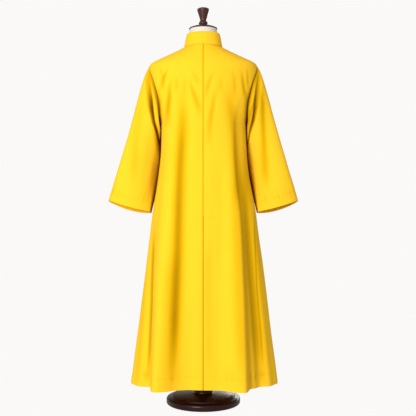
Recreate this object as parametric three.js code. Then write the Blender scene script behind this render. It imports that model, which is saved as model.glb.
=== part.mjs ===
// A cassock on a limbless dress form. The garment is cut as two backs, two fronts, two sleeves and a stand
// collar, with buttons down the front. The form has a turned base, a pole, a smooth body and a neck cap with
// a knob.
// Millimetres, +Z up, the origin on the floor under the pole. The front faces -Y, the wearer's left is +X.
import * as THREE from "three";

// Cloth
const CLOTH = 2;
const COLLAR_CLOTH = 3;
const SEAM_GAP = 0.3;

// Heights that the cut turns on
const HEM_Z = 88;
const UNDERARM_Z = 1190;
const SHOULDER_TIP_Z = 1447;

// The neckline in plan, and the top edge of the collar
const NECK = { side: 84, back: 80, front: 74 };
const COLLAR_TOP = { side: 73, back: 67, front: 72, sideZ: 1574, backZ: 1582, frontZ: 1538 };
const COLLAR_OPENING = 3;
const COLLAR_LIFT = 0.6;

// The armhole swings this many degrees round the body from the side seam, behind and in front
const ARMHOLE_SWING = { back: 27, front: 30 };
const ARMHOLE_ROUNDNESS = 0.6;

// The cuff is an ellipse between its outer and inner corners. Its edge sags between them, more in front
const CUFF = {
  outerX: 409,
  outerZ: 867,
  innerX: { left: 223, right: 230 },
  innerZ: 817,
  halfDepth: 46,
  centreY: -4,
  sag: 9.5,
  frontDrop: 8.5,
};
// The sleeve's head swells out below the shoulder tip, most at this share of its length
const SLEEVE_HEAD = { out: 10, along: 0.13 };
// Its inner side lies in against the body and forward of the side seam, most half way down
const SLEEVE_TUCK = { in: 15, forward: 66, fullness: 1.36 };
const SLEEVE_LENGTH = 600;
const SLEEVE_RADIUS = 80;
const SLEEVE_SEAM_GAP = 0.36;
// Near the underarm the sleeve's first ring drops to the body's own surface, over these degrees
const UNDERARM_EASE = { from: 20, over: 40 };

// The left front laps over the right one
const LAP = 20;
const UNDERLAP = { full: -23, start: -52, depth: CLOTH + 0.8 };

const BUTTON = { count: 12, radius: 8, height: 5, standoff: 0.5, topZ: 1458, spacing: 95 };

// Faces of each grid
const SKIRT_ROWS = 10;
const YOKE_ROWS = 12;
const PANEL_COLUMNS = 14;
const NECK_COLUMNS = 6;
const SLEEVE_ROWS = 12;
const SLEEVE_ROW_SPREAD = 1.15;
const SLEEVE_COLUMNS = 2 * YOKE_ROWS;
const COLLAR_ROWS = 3;
const FORM_COLUMNS = 32;
const BASE_COLUMNS = 36;
const CAP_COLUMNS = 28;
const KNOB_COLUMNS = 18;
const POLE_COLUMNS = 20;
const BUTTON_COLUMNS = 10;

// The outside of the garment at each height: how far it reaches to the wearer's left and right, behind and in
// front, and how square its section is
const BODY = [
  { z: 88, left: 311, right: 319, back: 151, front: 146, square: 2.2 },
  { z: 400, left: 269, right: 280, back: 146, front: 142, square: 2.2 },
  { z: 790, left: 221, right: 230, back: 139, front: 137, square: 2.2 },
  { z: 1086, left: 182, right: 186, back: 134, front: 133, square: 2.2 },
  { z: 1190, left: 180, right: 182, back: 133, front: 131, square: 2.2 },
  { z: 1230, left: 191, right: 192, back: 133, front: 131, square: 2.15 },
  { z: 1270, left: 204, right: 204, back: 132, front: 130, square: 2.1 },
  { z: 1320, left: 218, right: 218, back: 130, front: 126, square: 2.1 },
  { z: 1380, left: 229, right: 229, back: 125, front: 117, square: 2.05 },
  { z: 1420, left: 233, right: 233, back: 119, front: 106, square: 2 },
  { z: 1447, left: 230, right: 230, back: 113, front: 95, square: 2 },
  { z: 1460, left: 216, right: 216, back: 108, front: 87, square: 2 },
  { z: 1469, left: 197, right: 197, back: 105, front: 82, square: 2 },
  { z: 1486, left: 160, right: 160, back: 98, front: 74, square: 2 },
  { z: 1503, left: 122, right: 122, back: 90, front: 66, square: 2 },
  { z: 1522, left: 84, right: 84, back: 81, front: 59, square: 2 },
  { z: 1541, left: 46, right: 46, back: 69, front: 52, square: 2 },
];

// Folds that hang from the shoulders and grow towards the hem. The crest's angle at the hem and at its top
// end, 0 at the wearer's left and 90 at the back, the top end's height, the reach before the crest in degrees
// at the hem and at the top, the reach after it, and how far it stands out at the hem. Hollows are negative.
const FOLDS = [
  { hem: 56, top: 48, from: 1330, before: 11, beforeTop: 38, after: 22, out: 60 },
  { hem: 43, top: 14, from: 900, before: 13, beforeTop: 13, after: 9, out: -14 },
  { hem: 82, top: 74, from: 1330, before: 9, beforeTop: 9, after: 8, out: -6 },
  { hem: 117, top: 131, from: 1330, before: 20, beforeTop: 20, after: 10, out: 60 },
  { hem: 138, top: 144, from: 1280, before: 9, beforeTop: 9, after: 13, out: -15 },
  { hem: 160, top: 162, from: 780, before: 10, beforeTop: 10, after: 12, out: -4 },
  { hem: 19, top: 16, from: 780, before: 10, beforeTop: 10, after: 11, out: -4 },
  { hem: 196, top: 195, from: 780, before: 11, beforeTop: 11, after: 10, out: -12 },
  { hem: 219, top: 224, from: 1100, before: 12, beforeTop: 12, after: 10, out: -14 },
  { hem: 238, top: 232, from: 1260, before: 12, beforeTop: 12, after: 21, out: 50 },
  { hem: 302, top: 309, from: 1260, before: 21, beforeTop: 21, after: 12, out: 46 },
  { hem: 321, top: 318, from: 1100, before: 10, beforeTop: 10, after: 12, out: -14 },
  { hem: 344, top: 345, from: 780, before: 11, beforeTop: 11, after: 10, out: -12 },
];
const FOLD_GROWTH = 1.15;

// The crease that runs down the back of each sleeve's head, from the shoulder tip to under the arm: degrees
// round the sleeve from its outer line, share of its length, and depth
const SLEEVE_CREASE = [
  { turn: 20, along: 0.02, depth: 3 },
  { turn: 42, along: 0.055, depth: 8 },
  { turn: 54, along: 0.08, depth: 10 },
  { turn: 70, along: 0.12, depth: 12 },
  { turn: 82, along: 0.165, depth: 12 },
  { turn: 102, along: 0.2, depth: 11 },
  { turn: 125, along: 0.205, depth: 8 },
  { turn: 150, along: 0.24, depth: 4 },
  { turn: 170, along: 0.29, depth: 0 },
];
const SLEEVE_CREASE_REACH = 28;

// The dress form's body under the garment, and its neck
const FORM = [
  { z: 832, side: 146, back: 96, front: 90, square: 2.2 },
  { z: 846, side: 155, back: 105, front: 98, square: 2.2 },
  { z: 920, side: 160, back: 112, front: 102, square: 2.2 },
  { z: 1010, side: 147, back: 100, front: 98, square: 2.2 },
  { z: 1075, side: 138, back: 92, front: 96, square: 2.2 },
  { z: 1150, side: 144, back: 98, front: 104, square: 2.2 },
  { z: 1240, side: 156, back: 110, front: 112, square: 2.2 },
  { z: 1320, side: 172, back: 113, front: 108, square: 2.1 },
  { z: 1390, side: 192, back: 106, front: 96, square: 2.05 },
  { z: 1435, side: 203, back: 95, front: 82, square: 2 },
  { z: 1458, side: 201, back: 89, front: 73, square: 2 },
];
const FORM_NECK = [
  { z: 1520, side: 76, back: 70, front: 58, square: 2 },
  { z: 1548, side: 65, back: 62, front: 59, square: 2 },
  { z: 1575, side: 61, back: 60, front: 59, square: 2 },
  { z: 1603, side: 59, back: 59, front: 59, square: 2 },
];
// The shoulders lie this far under the outside of the garment, measured square to the slope
const SHOULDER_SEAT = { heights: [1468, 1476, 1486, 1496, 1508], below: CLOTH + 0.7, slope: 24.5, inset: 21 };

// Turned parts: radius and height
const BASE_PROFILE = [
  [0, 0], [154, 0], [158, 4], [158, 21], [155, 25], [148, 28], [140, 28.5], [136.5, 30], [135, 34],
  [131, 36.5], [100, 39.5], [60, 42], [42, 43], [39, 46], [39, 56], [35, 60], [24, 63], [21, 70], [0, 70],
];
const POLE = { radius: 16, bottomZ: 70.3, topZ: 831.7 };
const CAP_PROFILE = [
  [0, 1603.3], [61, 1603.3], [62, 1604.5], [62, 1606.5], [60, 1608.5], [48, 1613.5], [30, 1619],
  [14, 1621], [0, 1621],
];
const KNOB_PROFILE = [
  [0, 1621.3], [16, 1621.3], [19, 1625], [20, 1630], [18, 1635], [14, 1639], [13.5, 1643], [17, 1656],
  [23, 1675], [27, 1687], [26, 1691], [18, 1695.5], [0, 1698],
];
const BUTTON_PROFILE = [[0, 0], [0.85, 0], [1, 0.3], [0.93, 0.6], [0.6, 0.9], [0, 1]];

// Colours from the photograph
const YELLOW = new THREE.MeshStandardMaterial({ color: 0xf4d21c, roughness: 0.62, metalness: 0 });
const BUTTON_YELLOW = new THREE.MeshStandardMaterial({ color: 0xe6bf12, roughness: 0.5, metalness: 0 });
const LINEN = new THREE.MeshStandardMaterial({ color: 0xf3eee4, roughness: 0.85, metalness: 0 });
const DARK_WOOD = new THREE.MeshStandardMaterial({ color: 0x32140b, roughness: 0.25, metalness: 0 });

const DEGREE = Math.PI / 180;
// Steps for measuring a surface's slope: degrees round it, then millimetres up the body or a share of the
// sleeve or collar
const SLOPE_STEP = { body: [0.4, 2], sleeve: [2, 0.01], collar: [1, 0.02] };
const HALVINGS = 40;
const UP = new THREE.Vector3(0, 0, 1);
const lerp = THREE.MathUtils.lerp;
const clamp = THREE.MathUtils.clamp;

// A table's column at a height, on a smooth curve through its rows that never overshoots them.
function column(rows, key, z) {
  const last = rows.length - 1;
  const place = clamp(z, rows[0].z, rows[last].z);
  let i = 0;
  while (i < last - 1 && rows[i + 1].z < place) i++;
  const rise = (k) => (rows[k + 1][key] - rows[k][key]) / (rows[k + 1].z - rows[k].z);
  const slope = (k) => {
    if (k === 0) return rise(0);
    if (k === last) return rise(last - 1);
    const [a, b] = [rise(k - 1), rise(k)];
    return a * b <= 0 ? 0 : (2 * a * b) / (a + b);
  };
  const step = rows[i + 1].z - rows[i].z;
  const t = (place - rows[i].z) / step;
  const ease = t * t * (3 - 2 * t);
  return (
    lerp(rows[i][key], rows[i + 1][key], ease) +
    step * t * (1 - t) * ((1 - t) * slope(i) - t * slope(i + 1))
  );
}

// How far the folds carry the cloth outwards, at an angle round the body and a height.
function foldDepth(angle, z) {
  let total = 0;
  for (const fold of FOLDS) {
    const grown = clamp((fold.from - z) / (fold.from - HEM_Z), 0, 1);
    const crest = lerp(fold.top, fold.hem, grown);
    const off = THREE.MathUtils.euclideanModulo(angle - crest + 180, 360) - 180;
    const share = off / (off < 0 ? lerp(fold.beforeTop, fold.before, grown) : fold.after);
    if (Math.abs(share) < 1) total += fold.out * grown ** FOLD_GROWTH * Math.cos((share * Math.PI) / 2) ** 2;
  }
  return total;
}

// A point of a squared ellipse: angle in degrees, 0 on +X and 90 on +Y.
function sectionPoint(rows, angle, z) {
  const cos = Math.cos(angle * DEGREE);
  const sin = Math.sin(angle * DEGREE);
  const power = 2 / column(rows, "square", z);
  return new THREE.Vector3(
    column(rows, cos < 0 ? "right" : "left", z) * Math.sign(cos) * Math.abs(cos) ** power,
    column(rows, sin < 0 ? "front" : "back", z) * Math.sign(sin) * Math.abs(sin) ** power,
    z,
  );
}

// The outward normal of a surface given as a function of two values.
function normalOf(surface, a, b, stepA, stepB) {
  const alongA = surface(a + stepA, b).sub(surface(a - stepA, b));
  const alongB = surface(a, b + stepB).sub(surface(a, b - stepB));
  return alongA.cross(alongB).normalize();
}

const smoothBody = (angle, z) => sectionPoint(BODY, angle, z);

// The outside of the garment's body, folds included.
function bodyPoint(angle, z) {
  const point = smoothBody(angle, z);
  const depth = foldDepth(angle, z);
  if (depth === 0) return point;
  const outward = normalOf(smoothBody, angle, z, ...SLOPE_STEP.body).setZ(0).normalize();
  return point.addScaledVector(outward, depth);
}
const bodyNormal = (angle, z) => normalOf(bodyPoint, angle, z, ...SLOPE_STEP.body);

// One quarter of the body. turn is degrees from the side seam towards the centre seam.
const QUARTERS = {
  back_left: { side: 1, own: "left", other: "right", face: "back", angle: (turn) => turn },
  back_right: { side: -1, own: "right", other: "left", face: "back", angle: (turn) => 180 - turn },
  front_left: { side: 1, own: "left", other: "right", face: "front", angle: (turn) => 360 - turn },
  front_right: { side: -1, own: "right", other: "left", face: "front", angle: (turn) => 180 + turn },
};

// The turn at which the section reaches x, measured towards the quarter's own side.
function turnAt(quarter, x, z) {
  const share = Math.abs(x) / column(BODY, x < 0 ? quarter.other : quarter.own, z);
  const turn = Math.acos(Math.min(1, share ** (column(BODY, "square", z) / 2))) / DEGREE;
  return x < 0 ? 180 - turn : turn;
}

// The neckline at an angle round the neck, 90 at the face's centre: turn and height where it meets the body.
function neckAt(quarter, angle) {
  const { own, face } = quarter;
  const x = NECK.side * Math.cos(angle * DEGREE);
  const y = NECK[face] * Math.sin(angle * DEGREE);
  let low = SHOULDER_TIP_Z;
  let high = BODY[BODY.length - 1].z;
  for (let i = 0; i < HALVINGS; i++) {
    const z = (low + high) / 2;
    const power = column(BODY, "square", z);
    const inside = Math.abs(x / column(BODY, own, z)) ** power + (y / column(BODY, face, z)) ** power < 1;
    if (inside) low = z;
    else high = z;
  }
  return { turn: turnAt(quarter, x, low), z: low };
}
const neckTipZ = neckAt(QUARTERS.back_left, 0).z;

// The armhole from under the arm, 0, to the shoulder tip, 1.
function armholeAt(share, face) {
  const rise = (1 - Math.cos(share * Math.PI)) / 2;
  return {
    turn: ARMHOLE_SWING[face] * Math.max(0, Math.sin(rise * Math.PI)) ** ARMHOLE_ROUNDNESS,
    z: lerp(UNDERARM_Z, SHOULDER_TIP_Z, rise),
  };
}

// The place in a patch with four curved edges, by blending opposite edges.
function patchAt(edges, u, w) {
  const blend = (key) =>
    lerp(edges.bottom(u)[key], edges.top(u)[key], w) +
    lerp(edges.inner(w)[key], edges.outer(w)[key], u) -
    lerp(
      lerp(edges.inner(0)[key], edges.inner(1)[key], w),
      lerp(edges.outer(0)[key], edges.outer(1)[key], w),
      u,
    );
  return { turn: blend("turn"), z: blend("z") };
}

// The places, turn and height, of one quarter's grid: rows from the hem up, columns from the centre to the
// side. strips are the x of the columns that run straight down the centre front; the patch starts at the last
// of them.
function quarterPlaces(quarter, strips) {
  const start = strips[strips.length - 1];
  const neckStart = Math.acos(start / NECK.side) / DEGREE;
  const onStrip = (x, w) => {
    const top = neckAt(quarter, Math.acos(x / NECK.side) / DEGREE).z;
    const z = lerp(UNDERARM_Z, top, w);
    return { turn: turnAt(quarter, x, z), z };
  };
  const neckShare = NECK_COLUMNS / PANEL_COLUMNS;
  const edges = {
    bottom: (u) => ({ turn: (1 - u) * turnAt(quarter, start, UNDERARM_Z), z: UNDERARM_Z }),
    inner: (w) => onStrip(start, w),
    outer: (w) => armholeAt(w, quarter.face),
    top: (u) =>
      u < neckShare
        ? neckAt(quarter, neckStart * (1 - u / neckShare))
        : { turn: 0, z: lerp(neckTipZ, SHOULDER_TIP_Z, (u - neckShare) / (1 - neckShare)) },
  };
  const rows = [];
  for (let i = 0; i < SKIRT_ROWS; i++) {
    const z = lerp(HEM_Z, UNDERARM_Z, i / SKIRT_ROWS);
    const row = strips.slice(0, -1).map((x) => ({ turn: turnAt(quarter, x, z), z }));
    const reach = turnAt(quarter, start, z);
    for (let j = 0; j <= PANEL_COLUMNS; j++) row.push({ turn: (1 - j / PANEL_COLUMNS) * reach, z });
    rows.push(row);
  }
  for (let i = 0; i <= YOKE_ROWS; i++) {
    const w = i / YOKE_ROWS;
    const row = strips.slice(0, -1).map((x) => onStrip(x, w));
    for (let j = 0; j <= PANEL_COLUMNS; j++) row.push(patchAt(edges, j / PANEL_COLUMNS, w));
    rows.push(row);
  }
  return rows;
}

// The outer points and normals of a quarter, its seam edges moved back by half the gap.
function quarterGrid(name, strips, sink = () => 0) {
  const { side, face, angle } = QUARTERS[name];
  const outwards = face === "back" ? 1 : -1;
  const places = quarterPlaces(QUARTERS[name], strips);
  return places.map((row, i) =>
    row.map(({ turn, z }, j) => {
      const point = bodyPoint(angle(turn), z);
      const normal = bodyNormal(angle(turn), z);
      const atSide = j === row.length - 1;
      const atShoulder = i === places.length - 1 && j >= strips.length - 1 + NECK_COLUMNS;
      if (atSide || atShoulder) point.y += (outwards * SEAM_GAP) / 2;
      if (j === 0 && strips[0] === 0) point.x = (side * SEAM_GAP) / 2;
      point.addScaledVector(normal, -sink(point.x));
      return { point, normal };
    }),
  );
}

// A closed mesh from points and triangles, turned to face outwards.
function closedMesh(name, points, faces, material) {
  const geometry = new THREE.BufferGeometry();
  const a = new THREE.Vector3();
  let volume = 0;
  for (let i = 0; i < faces.length; i += 3)
    volume += a.crossVectors(points[faces[i]], points[faces[i + 1]]).dot(points[faces[i + 2]]);
  const facing = volume < 0 ? faces.slice().reverse() : faces;
  const places = points.flatMap((p) => [p.x, p.y, p.z]);
  geometry.setAttribute("position", new THREE.Float32BufferAttribute(places, 3));
  geometry.setIndex(facing);
  geometry.computeVertexNormals();
  const mesh = new THREE.Mesh(geometry, material);
  mesh.name = name;
  return mesh;
}

// A cloth wall of even thickness under a grid of outer points. ring joins the last column to the first.
function clothWall(name, grid, thickness, material, ring = false) {
  const rows = grid.length;
  const columns = grid[0].length;
  const outer = grid.flat().map(({ point }) => point);
  const inner = grid.flat().map(({ point, normal }) => point.clone().addScaledVector(normal, -thickness));
  const faces = [];
  const outside = (i, j) => i * columns + (j % columns);
  const inside = (i, j) => rows * columns + outside(i, j);
  const quad = (a, b, c, d) => faces.push(a, b, c, a, c, d);
  const steps = ring ? columns : columns - 1;
  for (let i = 0; i < rows - 1; i++)
    for (let j = 0; j < steps; j++) {
      quad(outside(i, j), outside(i, j + 1), outside(i + 1, j + 1), outside(i + 1, j));
      quad(inside(i, j), inside(i + 1, j), inside(i + 1, j + 1), inside(i, j + 1));
    }
  for (let j = 0; j < steps; j++) {
    quad(outside(0, j), inside(0, j), inside(0, j + 1), outside(0, j + 1));
    quad(outside(rows - 1, j), outside(rows - 1, j + 1), inside(rows - 1, j + 1), inside(rows - 1, j));
  }
  for (let i = 0; i < rows - 1 && !ring; i++) {
    quad(outside(i, 0), outside(i + 1, 0), inside(i + 1, 0), inside(i, 0));
    quad(outside(i, steps), inside(i, steps), inside(i + 1, steps), outside(i + 1, steps));
  }
  return closedMesh(name, [...outer, ...inner], faces, material);
}

// How deep the sleeve's crease is at a place on the sleeve.
function creaseDepth(turn, along) {
  let deepest = 0;
  for (let i = 0; i < SLEEVE_CREASE.length - 1; i++) {
    const from = SLEEVE_CREASE[i];
    const to = SLEEVE_CREASE[i + 1];
    const onSleeve = (place) =>
      new THREE.Vector2(place.turn * DEGREE * SLEEVE_RADIUS, place.along * SLEEVE_LENGTH);
    const start = onSleeve(from);
    const run = onSleeve(to).sub(start);
    const here = onSleeve({ turn, along }).sub(start);
    const share = clamp(here.dot(run) / run.lengthSq(), 0, 1);
    const away = here.sub(run.multiplyScalar(share)).length() / SLEEVE_CREASE_REACH;
    const shape = away < 1 ? Math.cos((away * Math.PI) / 2) ** 2 : 0;
    deepest = Math.max(deepest, lerp(from.depth, to.depth, share) * shape);
  }
  return deepest;
}

// The armhole seam seen from the sleeve. turn goes from the outer line, 0, over the back, 90, to under the
// arm, 180.
function armholeSeam(side, turn) {
  const face = turn <= 180 ? "back" : "front";
  const share = Math.abs(180 - turn) / 180;
  const place = armholeAt(share, face);
  const quarter = QUARTERS[`${face}_${side > 0 ? "left" : "right"}`];
  return { angle: quarter.angle(place.turn), z: place.z };
}

// The outside of a sleeve: straight lines from the armhole to the cuff, a rounded head and a tucked-in side.
function sleevePoint(side, turn, along) {
  const seam = armholeSeam(side, THREE.MathUtils.euclideanModulo(turn, 360));
  const top = bodyPoint(seam.angle, seam.z);
  const cos = Math.cos(turn * DEGREE);
  const sin = Math.sin(turn * DEGREE);
  const cuff = new THREE.Vector3(
    side * lerp(CUFF.innerX[side > 0 ? "left" : "right"], CUFF.outerX, (1 + cos) / 2),
    CUFF.centreY + CUFF.halfDepth * sin,
    lerp(CUFF.innerZ, CUFF.outerZ, (1 + cos) / 2) - CUFF.sag * sin * sin + CUFF.frontDrop * sin,
  );
  const head = (along / SLEEVE_HEAD.along) * Math.exp(1 - along / SLEEVE_HEAD.along);
  const point = top.lerp(cuff, along);
  const tuck = Math.max(0, Math.sin(along * Math.PI)) ** SLEEVE_TUCK.fullness;
  point.x += side * (SLEEVE_HEAD.out * head * Math.max(0, cos) - SLEEVE_TUCK.in * tuck * Math.max(0, -cos));
  point.y -= (SLEEVE_TUCK.forward * tuck * (1 - cos)) / 2;
  return point;
}

function sleeveGrid(side) {
  const surface = (turn, along) => sleevePoint(side, turn, along);
  const outwardNormal = (turn, along) => {
    const normal = normalOf(surface, turn, along, ...SLOPE_STEP.sleeve);
    return normal.multiplyScalar(-side);
  };
  const rows = [];
  for (let i = 0; i <= SLEEVE_ROWS; i++) {
    const along = (i / SLEEVE_ROWS) ** SLEEVE_ROW_SPREAD;
    const row = [];
    for (let j = 0; j < SLEEVE_COLUMNS; j++) {
      const turn = (j * 360) / SLEEVE_COLUMNS;
      const point = surface(turn, along);
      let normal = outwardNormal(turn, Math.max(along, SLOPE_STEP.sleeve[1]));
      if (i === 0) {
        // The first ring stands off the armhole's edge, and its wall doesn't reach back past that edge.
        const seam = armholeSeam(side, turn);
        const bodyOut = bodyNormal(seam.angle, seam.z);
        const ahead = armholeSeam(side, THREE.MathUtils.euclideanModulo(turn + 1, 360));
        const behind = armholeSeam(side, THREE.MathUtils.euclideanModulo(turn - 1, 360));
        const tangent = bodyPoint(ahead.angle, ahead.z).sub(bodyPoint(behind.angle, behind.z)).normalize();
        const away = tangent.cross(bodyOut).multiplyScalar(side).normalize();
        const eased = clamp((Math.abs(180 - turn) - UNDERARM_EASE.from) / UNDERARM_EASE.over, 0, 1);
        point.addScaledVector(away, SLEEVE_SEAM_GAP).addScaledVector(bodyOut, (1 - eased) * SLEEVE_SEAM_GAP);
        const back = normal.dot(away);
        if (back > 0) normal = normal.addScaledVector(away, -back).normalize();
      } else point.addScaledVector(normal, -creaseDepth(turn, along));
      row.push({ point, normal });
    }
    rows.push(row);
  }
  return rows;
}

// The stand collar: a band from the neckline to its own smaller, higher ring, open at the centre front.
function collarGrid() {
  const stations = [];
  const open = Math.asin(COLLAR_OPENING / 2 / NECK.side) / DEGREE;
  const half = 2 * NECK_COLUMNS;
  for (let j = 0; j <= half; j++) stations.push(-90 + open + ((180 - open) * j) / half);
  for (let j = 1; j <= half; j++) stations.push(90 + ((180 - open) * j) / half);
  const surface = (angle, share) => {
    const sin = Math.sin(angle * DEGREE);
    const cos = Math.cos(angle * DEGREE);
    const face = sin < 0 ? "front" : "back";
    const quarter = QUARTERS[`${face}_${cos < 0 ? "right" : "left"}`];
    const neck = neckAt(quarter, Math.abs(Math.asin(sin)) / DEGREE);
    const top = COLLAR_TOP;
    const tilt = (top.backZ - top.frontZ) / 2;
    const dip = (top.backZ + top.frontZ) / 2 - top.sideZ;
    const topZ = top.sideZ + tilt * sin + dip * sin * sin;
    return new THREE.Vector3(NECK.side * cos, NECK[face] * sin, neck.z + COLLAR_LIFT).lerp(
      new THREE.Vector3(top.side * cos, top[face] * sin, topZ),
      share,
    );
  };
  const rows = [];
  for (let i = 0; i <= COLLAR_ROWS; i++)
    rows.push(
      stations.map((angle) => ({
        point: surface(angle, i / COLLAR_ROWS),
        normal: normalOf(surface, angle, i / COLLAR_ROWS, ...SLOPE_STEP.collar),
      })),
    );
  return rows;
}

// The dress form's body: closed rings, flat at the bottom and at the top of the neck.
function formBody() {
  const seat = SHOULDER_SEAT;
  const drop = seat.below / Math.cos(seat.slope * DEGREE);
  const shoulders = seat.heights.map((z) => ({
    z,
    side: column(BODY, "left", z + drop),
    back: column(BODY, "back", z) - seat.inset,
    front: column(BODY, "front", z) - seat.inset,
    square: 2,
  }));
  const halves = [...FORM, ...shoulders, ...FORM_NECK];
  const rows = halves.map((row) => ({ ...row, left: row.side, right: row.side }));
  const points = [new THREE.Vector3(0, 0, rows[0].z)];
  for (const { z } of rows)
    for (let j = 0; j < FORM_COLUMNS; j++) points.push(sectionPoint(rows, (j * 360) / FORM_COLUMNS, z));
  points.push(new THREE.Vector3(0, 0, rows[rows.length - 1].z));
  const at = (i, j) => 1 + i * FORM_COLUMNS + (j % FORM_COLUMNS);
  const faces = [];
  for (let j = 0; j < FORM_COLUMNS; j++) {
    faces.push(0, at(0, j + 1), at(0, j));
    faces.push(points.length - 1, at(rows.length - 1, j), at(rows.length - 1, j + 1));
    for (let i = 0; i < rows.length - 1; i++) {
      faces.push(at(i, j), at(i, j + 1), at(i + 1, j + 1));
      faces.push(at(i, j), at(i + 1, j + 1), at(i + 1, j));
    }
  }
  return closedMesh("form_body", points, faces, LINEN);
}

// A turned part stood upright on the pole's axis.
function turned(name, profile, segments, material, radius = 1, height = 1) {
  const outline = profile.map(([r, z]) => new THREE.Vector2(r * radius, z * height));
  const geometry = new THREE.LatheGeometry(outline, segments);
  geometry.rotateX(Math.PI / 2);
  const mesh = new THREE.Mesh(geometry, material);
  mesh.name = name;
  return mesh;
}

function pole() {
  const length = POLE.topZ - POLE.bottomZ;
  const rod = new THREE.CylinderGeometry(POLE.radius, POLE.radius, length, POLE_COLUMNS);
  const mesh = new THREE.Mesh(rod, DARK_WOOD);
  mesh.name = "form_pole";
  mesh.rotation.x = Math.PI / 2;
  mesh.position.z = POLE.bottomZ + length / 2;
  return mesh;
}

// A button on the left front's centre line, square to the cloth there.
function button(index, grid, centreColumn) {
  const z = BUTTON.topZ - index * BUTTON.spacing;
  let i = 0;
  while (grid[i + 1][centreColumn].point.z < z) i++;
  const below = grid[i][centreColumn];
  const above = grid[i + 1][centreColumn];
  const share = (z - below.point.z) / (above.point.z - below.point.z);
  const seat = below.point.clone().lerp(above.point, share);
  const along = above.point.clone().sub(below.point).normalize();
  const outward = new THREE.Vector3(1, 0, 0).cross(along).normalize();
  if (outward.y > 0) outward.negate();
  const name = `button_${String(index + 1).padStart(2, "0")}`;
  const mesh = turned(name, BUTTON_PROFILE, BUTTON_COLUMNS, BUTTON_YELLOW, BUTTON.radius, BUTTON.height);
  mesh.position.copy(seat).addScaledVector(outward, BUTTON.standoff);
  mesh.quaternion.setFromUnitVectors(UP, outward);
  return mesh;
}

const sinkOfRightFront = (x) =>
  UNDERLAP.depth * clamp((x - UNDERLAP.start) / (UNDERLAP.full - UNDERLAP.start), 0, 1);

const cassock = new THREE.Group();
const leftFront = quarterGrid("front_left", [-LAP, 0, LAP]);
const rightFront = quarterGrid("front_right", [-LAP, -UNDERLAP.full, -UNDERLAP.start], sinkOfRightFront);
cassock.add(
  clothWall("back_left", quarterGrid("back_left", [0]), CLOTH, YELLOW),
  clothWall("back_right", quarterGrid("back_right", [0]), CLOTH, YELLOW),
  clothWall("front_left", leftFront, CLOTH, YELLOW),
  clothWall("front_right", rightFront, CLOTH, YELLOW),
  clothWall("sleeve_left", sleeveGrid(1), CLOTH, YELLOW, true),
  clothWall("sleeve_right", sleeveGrid(-1), CLOTH, YELLOW, true),
  clothWall("collar", collarGrid(), COLLAR_CLOTH, YELLOW),
);
for (let i = 0; i < BUTTON.count; i++) cassock.add(button(i, leftFront, 1));

const dressForm = new THREE.Group();
dressForm.add(
  formBody(),
  turned("form_base", BASE_PROFILE, BASE_COLUMNS, DARK_WOOD),
  pole(),
  turned("form_cap", CAP_PROFILE, CAP_COLUMNS, DARK_WOOD),
  turned("form_knob", KNOB_PROFILE, KNOB_COLUMNS, DARK_WOOD),
);

const part = new THREE.Group();
part.add(cassock, dressForm);

export default part;
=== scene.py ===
# A cassock on a dress form, seen from behind, in the frame of the solids: metres, +Z up, the back towards +Y
# and the wearer's left towards +X. Measures below are in millimetres, and become metres when a mesh is made.
# "deep" is how far the cloth lies inside its smooth form, "tone" how much painted shade darkens it there, from
# 0 to 1.
import math

import bpy
import numpy as np
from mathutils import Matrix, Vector


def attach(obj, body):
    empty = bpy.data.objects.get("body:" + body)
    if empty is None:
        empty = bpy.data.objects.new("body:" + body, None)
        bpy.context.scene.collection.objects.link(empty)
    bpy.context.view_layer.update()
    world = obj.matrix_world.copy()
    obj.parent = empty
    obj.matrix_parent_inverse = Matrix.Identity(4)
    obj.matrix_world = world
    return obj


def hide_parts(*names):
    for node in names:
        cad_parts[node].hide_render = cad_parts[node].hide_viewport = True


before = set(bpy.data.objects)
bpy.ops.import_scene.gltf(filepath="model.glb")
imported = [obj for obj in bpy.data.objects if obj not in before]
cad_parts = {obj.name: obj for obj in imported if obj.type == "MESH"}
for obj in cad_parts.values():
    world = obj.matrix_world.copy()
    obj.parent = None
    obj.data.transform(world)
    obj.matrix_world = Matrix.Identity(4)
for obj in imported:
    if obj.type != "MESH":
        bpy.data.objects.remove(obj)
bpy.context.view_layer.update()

# ---- Camera

MM = 1000  # in a metre
CAMERA = {"x": -20, "distance": 3200, "height": 836}
SENSOR = 36
FOCAL = 744 / 416  # focal length over image width, both in pixels
FARTHEST = 50  # metres


def placed(name, data):
    """A new object of the scene, from its camera, light or mesh."""
    obj = bpy.data.objects.new(name, data)
    bpy.context.scene.collection.objects.link(obj)
    return obj


camera_data = bpy.data.cameras.new("camera")
camera_data.sensor_width = SENSOR
camera_data.lens = SENSOR * FOCAL
camera_data.clip_end = FARTHEST
camera = placed("camera", camera_data)
camera.location = (CAMERA["x"] / MM, CAMERA["distance"] / MM, CAMERA["height"] / MM)
camera.rotation_euler = (math.pi / 2, 0, math.pi)
bpy.context.scene.camera = camera

# ---- Measures of the garment, as in the solids

CLOTH = 2.0
COLLAR_CLOTH = 3.0
SEAM_GAP = 0.3
HEM_Z = 88.0
UNDERARM_Z = 1190.0
SHOULDER_TIP_Z = 1447.0
NECK = {"side": 84.0, "back": 80.0, "front": 74.0}
COLLAR_TOP = {
    "side": 73.0, "back": 67.0, "front": 72.0, "side_z": 1574.0, "back_z": 1582.0, "front_z": 1538.0,
}
COLLAR_OPENING = 3.0
COLLAR_LIFT = 0.6
ARMHOLE_SWING = {"back": 27.0, "front": 30.0}
ARMHOLE_ROUNDNESS = 0.6
NECK_SHARE = 6 / 14  # of a quarter's top edge, the rest is its shoulder seam
CUFF = {
    "outer_x": 409.0, "outer_z": 867.0, "left_x": 223.0, "right_x": 230.0, "inner_z": 817.0,
    "half_depth": 46.0, "centre_y": -4.0, "sag": 9.5, "front_drop": 8.5,
}
SLEEVE_HEAD = {"out": 10.0, "along": 0.13}
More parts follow.
